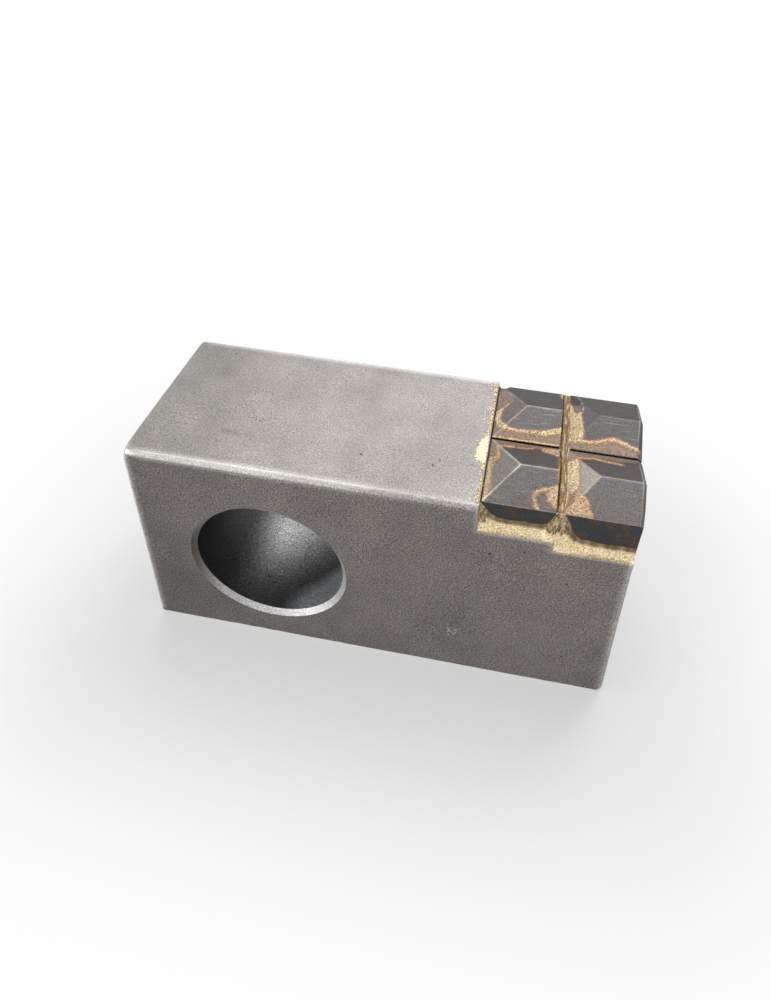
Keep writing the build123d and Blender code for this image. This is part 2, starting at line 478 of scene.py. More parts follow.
def studio_floor():
    """Matt pale studio board: it keeps the soft shadow of the hammer and runs out to plain white."""
    material, tree, place = new_material("matt_pale_board")
    tooth = add(tree, "ShaderNodeTexNoise", {"Vector": place, "Scale": 1 / 3, "Detail": 2})
    colour = add(tree, "ShaderNodeMix", {"data_type": "RGBA", 0: tooth, 6: "#e4e4e4", 7: "#e8e8e8"})
    matt = {"Base Color": colour, "Roughness": 0.9, "Specular IOR Level": 0.1}
    board = add(tree, "ShaderNodeBsdfPrincipled", matt)
    white = add(tree, "ShaderNodeEmission", {"Color": "#ffffff", "Strength": 1.0})

    # Distance from the foot of the hammer, as it stands on the board
    middle = ((body_low[0] + body_high[0]) / -2, 0, 0)
    foot = add(tree, "ShaderNodeMapping", {"Vector": place, "Location": middle})
    side = add(tree, "ShaderNodeVectorMath", {"operation": "ABSOLUTE", 0: foot})
    half = ((body_high[0] - body_low[0]) / 2, side_y, 1000)
    past = add(tree, "ShaderNodeVectorMath", {"operation": "SUBTRACT", 0: side, 1: half})
    clear = add(tree, "ShaderNodeVectorMath", {"operation": "MAXIMUM", 0: past, 1: (0, 0, 0)})
    off = add(tree, "ShaderNodeVectorMath", {"operation": "LENGTH", 0: clear})
    run_out = {"interpolation_type": "SMOOTHSTEP", 0: off, "From Min": 0, "From Max": 130, "To Min": 0.45}
    far = add(tree, "ShaderNodeMapRange", run_out)
    share = add(tree, "ShaderNodeMath", {"operation": "MULTIPLY", 0: looked_at(tree), 1: far})
    shader = add(tree, "ShaderNodeMixShader", {0: share, 1: board, 2: white})
    add(tree, "ShaderNodeOutputMaterial", {"Surface": shader})
    return material


steel_finish = blasted_steel()
carbide_finish = ground_carbide()
braze_finish = torch_braze()


# Steel block

# Marks on the forged faces, read in mm, in X and Y on the top, and in X and Z on the front.
# A pit is its middle and radius, the faint scribble its path and half width, and the dent its middle, half
# width and half height.
TOP_PITS = [
    ((35.7, -19), 0.7), ((63.8, -19), 0.6), ((66, -16), 0.45), ((15, -17), 0.4), ((-35, 29), 0.6),
    ((-11.9, -8.4), 0.4), ((-11, -7.5), 0.35), ((-10.5, -9.2), 0.5), ((-9.5, -8.2), 0.35),
    ((-8.6, -9.4), 0.5), ((-8, -8), 0.3), ((-7.1, -8.9), 0.4), ((-5.9, -8.5), 0.35),
]
FAINT = ([(-20, -18.6), (-17, -18.1), (-14, -18.6), (-11, -19.3), (-8, -18.9)], 0.5)
FRONT_PITS = [
    ((89.3, 29.5), 0.9), ((102, 33.5), 0.7), ((119, 19.5), 0.8), ((126.5, 9.5), 0.6), ((122.5, -26), 0.6),
]
DENT = ((76.5, -22), (3.2, 5.5))
pit_depth = 0.35
dent_depth = 0.3
mark_margin = 1.2  # how far round a mark the steel needs finer faces
pale_band = 2.4  # width of the broad pale edges, partly worn and partly painted highlight


def round_the_bore(body):
    """Makes the facets round the bore and its mouths four times as fine, on the true circles."""

    def ring_of(vertex):
        distance = np.hypot(vertex.co.x, vertex.co.z) / MM
        return next((ring for ring in (bore_radius, mouth_radius) if abs(distance - ring) < 0.04), None)

    rings = []
    for e in body.edges:
        a, b = e.verts
        if abs(a.co.y - b.co.y) < 0.001 * MM and ring_of(a) and ring_of(a) == ring_of(b):
            rings.append(e)
    bmesh.ops.subdivide_edges(body, edges=rings, cuts=3)
    for v in body.verts:
        if ring_of(v):
            stretch = ring_of(v) * MM / np.hypot(v.co.x, v.co.z)
            v.co.x, v.co.z = v.co.x * stretch, v.co.z * stretch


def break_edges(body):
    """Bevels the sharp edges that the pocket leaves in the sides, the end and the top."""
    sharp = []
    for e in body.edges:
        a, b = (np.array(v.co) / MM for v in e.verts)
        low = np.minimum(a, b)
        in_pocket = low[0] > pocket_x - NEAR and low[2] > outer_seat_z - NEAR
        at_side = min(abs(a[1]), abs(b[1])) > side_y - edge_radius - NEAR and a[1] * b[1] > 0
        at_end = low[0] > body_high[0] - edge_radius - NEAR
        at_top = low[2] > top_z - 2 * NEAR
        if in_pocket and (at_side or at_end or at_top) and e.calc_face_angle(0) > radians(60):
            sharp.append(e)
    bmesh.ops.bevel(body, geom=sharp, offset=ledge_bevel * MM, segments=2, profile=0.5, affect="EDGES")


def slice_faces(body):
    """Slices the flat faces and the rounded edges every 2 mm, but not the bore and its mouths."""
    kept = body.faces.layers.int.new("bored")
    for f in body.faces:
        middle = f.calc_center_median() / MM
        f[kept] = int(np.hypot(middle.x, middle.z) < mouth_radius and abs(f.normal.y) < 0.99)
    slice_step = 2.0
    for axis in range(3):
        start, end = body_low[axis] + edge_radius, body_high[axis] - edge_radius
        normal = [0, 0, 0]
        normal[axis] = 1
        for cut in np.arange(start, end + 0.1, slice_step):
            point = [0, 0, 0]
            point[axis] = cut * MM
            faces = [f for f in body.faces if not f[kept]]
            edges = list({e for f in faces for e in f.edges})
            every = faces + edges + list({v for f in faces for v in f.verts})
            bmesh.ops.bisect_plane(body, geom=every, dist=1e-7, plane_co=point, plane_no=normal)


def near_mark(point):
    x, y, z = point / MM
    if z > top_z - NEAR:
        return any(np.hypot(x - a, y - b) < radius + mark_margin for (a, b), radius in TOP_PITS)
    if y < -side_y + NEAR:
        (a, b), (wide, tall) = DENT
        if abs(x - a) < 1.3 * wide and abs(z - b) < 1.3 * tall:
            return True
        return any(np.hypot(x - a, z - b) < radius + mark_margin for (a, b), radius in FRONT_PITS)
    return False


def worn_and_sheen_edges(at, gaps, in_bore):
    """How pale each point is, partly worn and partly painted highlight: most along the top and the two ends,
    less where it is faint there.
    """
    x, y, z = at.T
    steps = [(pocket_x, top_z), (pocket_x, inner_seat_z), (step_x, inner_seat_z), (step_x, outer_seat_z)]
    off_steps = reach(at[:, [0, 2]], steps + [(body_high[0], outer_seat_z)], False)
    broken = (off_steps < ledge_bevel + NEAR) & (np.abs(y) > side_y - ledge_bevel - NEAR)
    broad = (z > top_z - pale_band) | (np.maximum(body_low[0] - x, x - body_high[0]) > -pale_band)
    broad = broad & (z > body_low[2] + pale_band)
    edge = np.where(broad, smooth(gaps[:, 1], pale_band, 1.5), smooth(gaps[:, 1], 1.5, 0.8))
    edge *= 1 - 0.6 * smooth(x, 138, 140) * (z < outer_seat_z - 1)
    at_plain_end = smooth(x, body_low[0] + 3.5, body_low[0] + 2.5) * smooth(z, top_z - 3, top_z - 2)
    edge *= 1 - 0.8 * at_plain_end * smooth(y, -33, -29)
    edge *= smooth(gaps[:, 0], 3, 0)
    edge *= 1 - 0.65 * smooth(x, -10, 70) * (y < 0) * (z > top_z - pale_band)
    return np.where(in_bore, 0, np.maximum(edge, 0.3 * broken))


def steel_block():
    """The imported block, sliced so that its forged faces can wave a little and carry marks and wear."""
    body = bmesh.new()
    body.from_mesh(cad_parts["hammer_body"].data)
    bmesh.ops.remove_doubles(body, verts=body.verts, dist=0.002 * MM)
    bmesh.ops.dissolve_limit(body, angle_limit=radians(0.3), verts=body.verts, edges=body.edges)
    round_the_bore(body)
    break_edges(body)
    slice_faces(body)
    fine = [f for f in body.faces if len(f.verts) == 4 and near_mark(f.calc_center_median())]
    edges = list({e for f in fine for e in f.edges})
    bmesh.ops.subdivide_edges(body, edges=edges, cuts=4, use_grid_fill=True)
    mesh = bpy.data.meshes.new("steel_block")
    body.to_mesh(mesh)
    body.free()
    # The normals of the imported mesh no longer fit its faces
    mesh.attributes.remove(mesh.attributes["custom_normal"])

    at = vertices_mm(mesh)
    x, y, z = at.T
    gaps = np.sort(np.minimum(at - body_low, body_high - at), 1)  # to the nearest sides of the block
    radius = np.hypot(x, z)
    in_bore = radius < mouth_radius + 0.1
    in_pocket = (x > pocket_x - NEAR) & (z > outer_seat_z - 0.45)

    # Forged faces wave a little, always inwards, and edges are never quite straight
    normals = np.zeros(len(at) * 3, np.float32)
    mesh.vertex_normals.foreach_get("vector", normals)
    normals = normals.reshape(-1, 3).astype(float)
    wave = 0.09 * (1 + wobble(at, 28, 3)) + 0.10 * (1 + wobble(at, 5, 11)) * smooth(gaps[:, 1], 5, 0)
    hold = smooth(x, pocket_x - 7, pocket_x - 1) * smooth(z, outer_seat_z - 7, outer_seat_z - 1)
    wave = wave * (1 - hold) * smooth(radius, mouth_radius + 0.2, mouth_radius + 6)
    moved = at - normals * np.where(in_bore | in_pocket, 0, wave)[:, None]

    # The corners at the top of the plain end are rounder, the front one most
    for corner_y, amount in ((-side_y, 0.9), (side_y, 0.3)):
        corner = np.array([body_low[0], corner_y, top_z])
        inwards = np.array([1, -np.sign(corner_y), -1]) / np.sqrt(3)
        moved += amount * smooth(np.linalg.norm(at - corner, axis=1), 5.5, 1)[:, None] * inwards

    on_top = (z > top_z - NEAR) & (x < pocket_x - 1)
    on_front = y < -side_y + NEAR
    pit = np.zeros(len(at))
    for marks, face, v in ((TOP_PITS, on_top, y), (FRONT_PITS, on_front, z)):
        for (mark_x, mark_v), size in marks:
            hollow = smooth(np.hypot(x - mark_x, v - mark_v), size, size * 0.3)
            pit = np.where(face, np.maximum(pit, hollow), pit)
    moved[:, 2] -= pit_depth * pit * on_top
    moved[:, 1] += pit_depth * pit * on_front
    path, half = FAINT
    faint = smooth(reach(at[:, :2], path, False), half + 1.2, 0) * smooth(wobble(at, 0.9, 21), -0.15, 0.15)
    (dent_x, dent_z), (wide, tall) = DENT
    dent = smooth(np.hypot((x - dent_x) / wide, (z - dent_z) / tall), 1.15, 0.3) * on_front
    crumbs = wobble(at, 1.1, 8)
    moved[:, 1] += dent_depth * dent * (1 + crumbs)
    set_vertices_mm(mesh, moved)

    store(mesh, "edge", np.maximum(worn_and_sheen_edges(at, gaps, in_bore), 0.5 * dent * smooth(crumbs, 0, 0.3)))
    stains = np.maximum(0.85 * pit, 0.35 * faint * on_top)
    store(mesh, "mark", np.maximum(stains, 0.3 * dent * smooth(crumbs, -0.1, -0.35)))
    # calm marks the top: a calmer grit, and the top tone, painted lighter than the shaded sides
    store(mesh, "calm", smooth(z, top_z - 1.2, top_z - 0.1) * (x < pocket_x))
    return finish_piece(mesh, "steel_block", steel_finish, "steel", "hammer_body")


steel_block()


# Carbide tips


def tip_tree():
    """Geometry nodes for one tip: a gridded box, its top lifted to a gable with a hip towards the bore."""
    bar = ("Start X", "Middle Y", "Sole Z", "Length", "Width", "Wall Height")
    roof = ("Roof Rise", "Hip Run", "End Lean", "End Bevel", "Wear", "Cell")
    tree, value = new_shape("carbide_tip_shape", Float=bar + roof, Material=("Finish",))
    position = add(tree, "ShaderNodeSeparateXYZ", {0: add(tree, "GeometryNodeInputPosition")}).node.outputs
    value |= {"x": position["X"], "y": position["Y"], "z": position["Z"]}

    # Each value's operation and its terms, which are numbers or values above it
    steps = {}
    for side in ("Length", "Width", "Wall Height"):
        steps[side + " in cells"] = ("DIVIDE", side, "Cell")
        steps[side + " rounded"] = ("ROUND", side + " in cells")
        steps[side + " points"] = ("ADD", side + " rounded", 1)
    steps |= {
        "level": ("DIVIDE", "z", "Wall Height"),
        "share": ("ADD", "level", 0.5),
        "on wall": ("LESS_THAN", "share", 0.999),
        "half length": ("MULTIPLY", "Length", 0.5),
        "run": ("ADD", "x", "half length"),
        "half width": ("MULTIPLY", "Width", 0.5),
        "other side": ("MULTIPLY", "y", -1),
        "off ridge": ("SMOOTH_MAX", "y", "other side", "Wear"),
        "hip pitch": ("DIVIDE", "Roof Rise", "Hip Run"),
        "hip": ("MULTIPLY", "run", "hip pitch"),
        "gable pitch": ("DIVIDE", "Roof Rise", "half width"),
        "off eaves": ("SUBTRACT", "half width", "off ridge"),
        "gable": ("MULTIPLY", "off eaves", "gable pitch"),
        "blend": ("MULTIPLY", "Wear", 0.6),
        "roof": ("SMOOTH_MIN", "hip", "gable", "blend"),
        "bevel start": ("SUBTRACT", "Length", "End Bevel"),
        "past start": ("SUBTRACT", "run", "bevel start"),
        "bevel drop": ("MAXIMUM", "past start", 0),
        "bevelled": ("SUBTRACT", "roof", "bevel drop"),
        "top": ("ADD", "Wall Height", "bevelled"),
        "height": ("MULTIPLY", "top", "share"),
        "full height": ("ADD", "Wall Height", "Roof Rise"),
        "height share": ("DIVIDE", "height", "full height"),
        "below": ("SUBTRACT", 1, "height share"),
        "lean": ("MULTIPLY", "End Lean", "below"),
        "pull": ("DIVIDE", "lean", "Length"),
        "kept": ("SUBTRACT", 1, "pull"),
        "leaning": ("MULTIPLY", "run", "kept"),
        "new x": ("ADD", "Start X", "leaning"),
        "new y": ("ADD", "Middle Y", "y"),
        "new z": ("ADD", "Sole Z", "height"),
    }
    for name, (operation, *terms) in steps.items():
        inputs = {key: value.get(term, term) for key, term in enumerate(terms)}
        value[name] = add(tree, "ShaderNodeMath", {"operation": operation, **inputs})

    sides = {"X": value["Length"], "Y": value["Width"], "Z": value["Wall Height"]}
    counts = {
        "Vertices X": value["Length points"],
        "Vertices Y": value["Width points"],
        "Vertices Z": value["Wall Height points"],
    }
    box = add(tree, "GeometryNodeMeshCube", {"Size": add(tree, "ShaderNodeCombineXYZ", sides), **counts})
    wall = {"Name": "wall", "Geometry": box, "Value": value["on wall"]}
    named = add(tree, "GeometryNodeStoreNamedAttribute", wall)
    place = {"X": value["new x"], "Y": value["new y"], "Z": value["new z"]}
    lifted = {"Geometry": named, "Position": add(tree, "ShaderNodeCombineXYZ", place)}
    return end_shape(tree, add(tree, "GeometryNodeSetPosition", lifted), value["Finish"])


# Braze that flowed over each tip's roof, read in plan, in mm: closed outlines, or lines with a width.
# The last number is how coppery it is. Oxide is the purple-brown stain in the valleys.
FLOWS = {
    "carbide_tip_inner_rear": {
        "film": [
            ([
                (83, 15), (84.5, 16), (86, 17), (88, 19.3), (90.5, 20.8), (88.5, 18.5), (87, 16.5),
                (86.4, 14), (86.4, 11), (87.2, 8.8), (90, 5.6), (88, 4.6), (85.5, 6), (84.4, 9), (83, 10),
            ], 0, 0.2),
            ([(88.5, 5), (91.5, 4.9), (94, 4.6), (97, 4.8), (101, 5), (104.5, 5.2)], 0.75, 0.3),
            ([(104.5, 5.2), (107, 5.8), (109, 6.8), (112, 7.6)], 1.3, 0.2),
            ([(84, 0.4), (112, 0.4)], 0.75, 0.0),
            ([(111.3, 29), (111.3, 33)], 0.8, 0.3),
        ],
        "oxide": [
            [(83, -1), (83, 6), (88.5, 5), (96, 4.6), (106, 5.4), (112, 6), (112, -1)],
            [(83, 15.8), (87, 17.5), (88.5, 19.8), (91.6, 21.3), (90.3, 25.3), (87, 28.5), (83, 30)],
        ],
    },
    "carbide_tip_inner_front": {
        "film": [
            ([
                (83, -10.5), (86.8, -10.4), (88.4, -11.8), (86.8, -13.5), (86.2, -18), (86.4, -22),
                (87, -26), (86, -29.5), (85, -33), (83, -33),
            ], 0, 0.3),
            ([(86.9, -5), (87.5, -8), (87.8, -11)], 0.6, 0.7),
            ([(111.4, -8), (111.3, -20)], 0.3, 0.9),
            ([(88, -5), (89, -3.9), (91, -3.2), (93, -3), (94.5, -4), (93, -4.8), (90, -5.1)], 0, 0.9),
            ([(94.5, -4.2), (97, -4.1), (100, -3.6), (101, -2.6)], 0.3, 0.5),
            ([
                (103.5, -2), (106, -1.5), (112, -0.5), (112, -7.5), (109.5, -6), (107, -5), (104.5, -4.2),
            ], 0, 0.6),
            ([
                (104.6, -33), (103.2, -30.5), (102.6, -27.8), (103.6, -26), (106, -25), (108.5, -24.4),
                (112, -22.6),
            ], 0.65, 0.8),
            ([(108, -25), (112, -22.5), (112, -31.5), (109.5, -30.4), (107.8, -29), (107.3, -27.2)], 0, 0.7),
        ],
        "oxide": [
            [(83, 1), (112, 1), (112, -2.4), (103, -3.2), (95, -3.6), (88, -4), (84, -2)],
            [(83, -2.5), (86.8, -5), (87.3, -10), (83, -10.3)],
        ],
    },
    "carbide_tip_outer_rear": {
        "film": [
            ([
                (113, 3.5), (119, 3.6), (119.9, 5), (119.9, 10), (119.4, 15), (119.2, 20), (118.6, 21.3),
                (117.4, 20.3), (116, 21), (115.4, 25), (113, 28),
            ], 0, 0.25),
            ([
                (119, 4.2), (122, 4.1), (124.5, 4.3), (127, 5.3), (129.5, 6.3), (132, 6.7), (134.5, 6.2),
                (137, 5.2), (139, 4.4), (142, 3.7),
            ], 0.75, 0.5),
        ],
        # A painted highlight along the hip, drawn as a line
        "scratch_and_glint": [[(117.4, 32), (119.2, 27), (119.8, 21.5)]],
        # A dark patch by the pocket wall
        "dark_cover": [[(113, 20.5), (117, 21), (119, 27), (119, 34), (113, 34)]],
        "oxide": [
            [
                (113, -1), (113, 4), (119, 3.6), (124.5, 4), (129, 6), (132, 6.4), (136, 5.4), (142, 3.6),
                (142, -1),
            ],
            [(116, 20.8), (118.4, 20.8), (118, 24.5), (115.4, 25)],
        ],
    },
    "carbide_tip_outer_front": {
        "film": [
            ([
                (113, -7), (115.5, -6.8), (117.5, -5.6), (118.4, -7.5), (118.5, -13), (118.9, -18),
                (118.3, -21.3), (117.2, -22), (116.3, -23.5), (115.2, -22), (114.8, -26.5), (114.2, -30),
                (113, -30),
            ], 0, 0.1),
            ([
                (118.2, -21), (120, -24.6), (122.4, -26.6), (122.5, -29), (123.8, -31), (123.6, -34),
                (113, -34), (113, -30), (116.3, -28), (117, -23.5),
            ], 0, 0.9),
            ([(118.5, -5.2), (121.3, -4.6), (124, -4), (128, -4.9), (132.5, -5.4), (135, -5.9)], 0.5, 0.5),
        ],
        "oxide": [
            [
                (113, 1), (142, 1), (142, -2), (134, -3.8), (124, -3.4), (120, -4.5), (118, -5.6),
                (115, -6.8), (113, -7),
            ],
            [(114, -22), (116.6, -22), (116.8, -27.6), (114, -29.5)],
        ],
    },
}

# How pale each tip's hip is, as painted sheen; how bright the pale lines along its hips and along its ridge
# are, partly wear and partly painted highlight; and how much darker the whole tip is
WEAR_AND_SHEEN = {
    "carbide_tip_inner_front": (0.35, 0.8, 0.35, 0.0),
    "carbide_tip_inner_rear": (0.1, 0.3, 0.35, 0.0),
    "carbide_tip_outer_front": (1.0, 0.1, 0.2, 0.0),
    "carbide_tip_outer_rear": (0.0, 0.0, 0.05, 0.25),
}

# The free ends of the outer tips: Y, and X where the bevel starts and where the end is, in mm, read off
END_LINES = [
    (-32.5, 141.1, 142.2), (-26, 141.6, 142.9), (-16.5, 142.0, 143.3), (-8, 141.9, 143.4),
    (-0.5, 141.6, 143.5), (0.5, 141.3, 143.6), (3, 141.4, 143.6), (16.5, 142.3, 143.6), (28, 142.5, 143.6),
    (32.5, 142.6, 143.5),
]
no_film = -9.0
film_thickness = 0.15
room_for_film = 0.12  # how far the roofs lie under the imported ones
chip_depth = 1.4


def tip_mesh(tree, name):
    """The tip as its tree shapes it, with worn edges."""
    low, high = tip_boxes[name]
    helper = linked(name + "_helper", bpy.data.meshes.new("helper"))
    sizes = {
        "Start X": low[0],
        "Middle Y": (low[1] + high[1]) / 2,
        "Sole Z": low[2],
        "Length": high[0] - low[0],
        "Width": high[1] - low[1],
        "Wall Height": top_z - low[2],
        "Roof Rise": high[2] - top_z,
        "Hip Run": hip_run,
        "End Lean": end_lean if name in OUTER_TIPS else 0.0,
        "End Bevel": end_bevel if name in OUTER_TIPS else 0.0,
        "Wear": 0.5,
        "Cell": 0.5,
    }
    grown(helper, tree, {key: size * MM for key, size in sizes.items()} | {"Finish": carbide_finish})
    bevel = helper.modifiers.new("worn_edges", "BEVEL")
    bevel.width = 0.25 * MM
    bevel.segments = 2
    bevel.angle_limit = radians(50)
    return applied(helper, name + "_ground")


def carbide_tip(tree, name):
    mesh = tip_mesh(tree, name)
    low, high = tip_boxes[name]
    middle_y = (low[1] + high[1]) / 2
    at = vertices_mm(mesh)
    run = at[:, 0] - low[0]
    bevel_run = high[0] - low[0] - end_bevel
    if name in OUTER_TIPS:
        ys, starts, ends = zip(*END_LINES)
        start, end = np.interp(at[:, 1], ys, starts), np.interp(at[:, 1], ys, ends)
        beyond = np.maximum(run - bevel_run, 0) / end_bevel
        at[:, 0] = low[0] + (start - low[0]) * np.minimum(run / bevel_run, 1) + (end - start) * beyond
    plan = at[:, :2]
    roof = at[:, 2] > top_z - 0.4

    # Film and oxide
    film = np.full(len(at), no_film)
    copper = np.zeros(len(at))
    for path, width, tone in FLOWS[name]["film"]:
        depth = width - reach(plan, path, False) if width else reach(plan, path, True)
        copper = np.where(depth > film, tone, copper)
        film = np.maximum(film, depth)
    cover = np.ones(len(at))
    if name == "carbide_tip_inner_front":
        cover -= 0.75 * smooth(at[:, 0], 84.4, 86.6) * (at[:, 1] < -12) * (at[:, 0] < 95)
    store(mesh, "film", np.where(roof, film, no_film))
    store(mesh, "copper", copper)
    store(mesh, "cover", cover)
    store(mesh, "oxide", np.max([reach(plan, path, True) for path in FLOWS[name]["oxide"]], 0))

    # Pale lines along the hips, the ridge, the front eaves and the bevel, partly wear and partly painted
    # highlight, and a painted highlight along the outer rear tip's listed line
    off_ridge = np.abs(at[:, 1] - middle_y)
    half_width = (high[1] - low[1]) / 2
    hip = run * roof_rise / hip_run
    slope = (half_width - off_ridge) * roof_rise / half_width
    hip_sheen, hip_wear_and_sheen, ridge_wear_and_sheen, tip_darkness = WEAR_AND_SHEEN[name]
    on_hip_line = smooth(np.abs(hip - slope), 0.2, 0.04) * (hip < roof_rise + 0.2)
    on_ridge = smooth(off_ridge, 0.7, 0.1) * (hip > roof_rise - 0.2)
    on_eaves = smooth(slope, 0.09, 0.01) * (at[:, 1] < 0)
    on_end = smooth(np.abs(run - bevel_run), 0.22, 0.05) * (name in OUTER_TIPS)
    lines = [on_hip_line * hip_wear_and_sheen, on_ridge * ridge_wear_and_sheen, 0.7 * on_eaves, 0.5 * on_end]
    for path in FLOWS[name].get("scratch_and_glint", []):
        lines.append(0.8 * smooth(reach(plan, path, False), 0.22, 0.05))
    patchy = (0.6 + 0.45 * wobble(at, 2.5, 7)) * (0.85 + 0.6 * wobble(at, 0.8, 18))
    store(mesh, "ridge", np.max(lines, 0) * patchy * roof)
    store(mesh, "hip", smooth(slope - hip, -0.1, 0.1) * roof * hip_sheen)

    # The slope on the rear side of the ridge painted darker as painted shade, each tip darker by its own
    # amount, and darker in the listed dark patches
    rear_slope_shade = smooth(at[:, 1] - middle_y, -0.1, 0.3) * smooth(hip - slope, -0.1, 0.1)
    rear_shade_and_dark = np.maximum(0.6 * rear_slope_shade, tip_darkness)
    for path in FLOWS[name].get("dark_cover", []):
        in_dark_cover = smooth(reach(plan, path, True) + 0.6 * wobble(at, 1.5, 13), -0.3, 0.3)
        rear_shade_and_dark = np.maximum(rear_shade_and_dark, 0.85 * in_dark_cover)
    store(mesh, "rear_shade_and_dark", rear_shade_and_dark * roof)

    at[:, 2] += (film_thickness * smooth(film, -0.1, 0.5) - room_for_film) * roof
    if name == "carbide_tip_inner_rear":
        # Its corner by the wall of the pocket is broken off
        chip = smooth(run, 4.6, 2.0) * smooth(at[:, 1], 28, 31.5)
        at[:, 2] -= chip_depth * chip * np.clip((at[:, 2] - top_z + 6) / 6, 0, 1)
    set_vertices_mm(mesh, at)
    return finish_piece(mesh, name + "_ground", carbide_finish, "carbide", name)


tip_shape = tip_tree()
for tip_name in TIPS:
    carbide_tip(tip_shape, tip_name)


# Braze


def plan_grid(xs, ys):
    """X and Y of every point of a grid, and the points in plan."""
    x, y = (grid.ravel() for grid in np.meshgrid(xs, ys, indexing="ij"))
    return x, y, np.stack([x, y, np.zeros(len(x))], 1)


def frozen(name, xs, ys, top, oxide, sole):
    """A closed mesh of braze: a grid of top points, a wall round them, and a sole whose height follows X."""
    body = bmesh.new()
    tone = body.verts.layers.float.new("oxide")
    grid = []
    for point, value in zip(top, oxide):
        grid.append(body.verts.new(point * MM))
        grid[-1][tone] = value
    across = len(ys)
    for i in range(len(xs) - 1):
        for j in range(across - 1):
            n = i * across + j
            body.faces.new((grid[n], grid[n + across], grid[n + across + 1], grid[n + 1]))
    rim = [e for e in body.edges if e.is_boundary]
    skirt = bmesh.ops.extrude_edge_only(body, edges=rim)["geom"]
    for vertex in (g for g in skirt if isinstance(g, bmesh.types.BMVert)):
        vertex.co.z = sole(vertex.co.x / MM) * MM
    bmesh.ops.holes_fill(body, edges=[e for e in body.edges if e.is_boundary])
    bmesh.ops.recalc_face_normals(body, faces=body.faces)
    mesh = bpy.data.meshes.new(name)
    body.to_mesh(mesh)
    body.free()
    return mesh


# How high the braze climbs the faces of the tips: X and Z in mm, read off
CLIMB = [
    (84, 53), (86, 50), (88, 47.5), (90, 46.3), (94, 46), (104, 46), (107, 46.4), (109, 47.3), (110, 49.5),
    (111.2, 53), (114.2, 53), (115.5, 52), (116.5, 49.5), (117.5, 46.5), (119, 43.5), (121, 42), (124, 41.4),
    (130, 41), (141.2, 41.5),
]
# The groove in the seam between the columns: Y and X in mm, read off
GROOVE = [(-31, 111.5), (-24, 111.6), (-5, 111.7), (0, 111.6), (4, 111.4), (32, 111.4)]


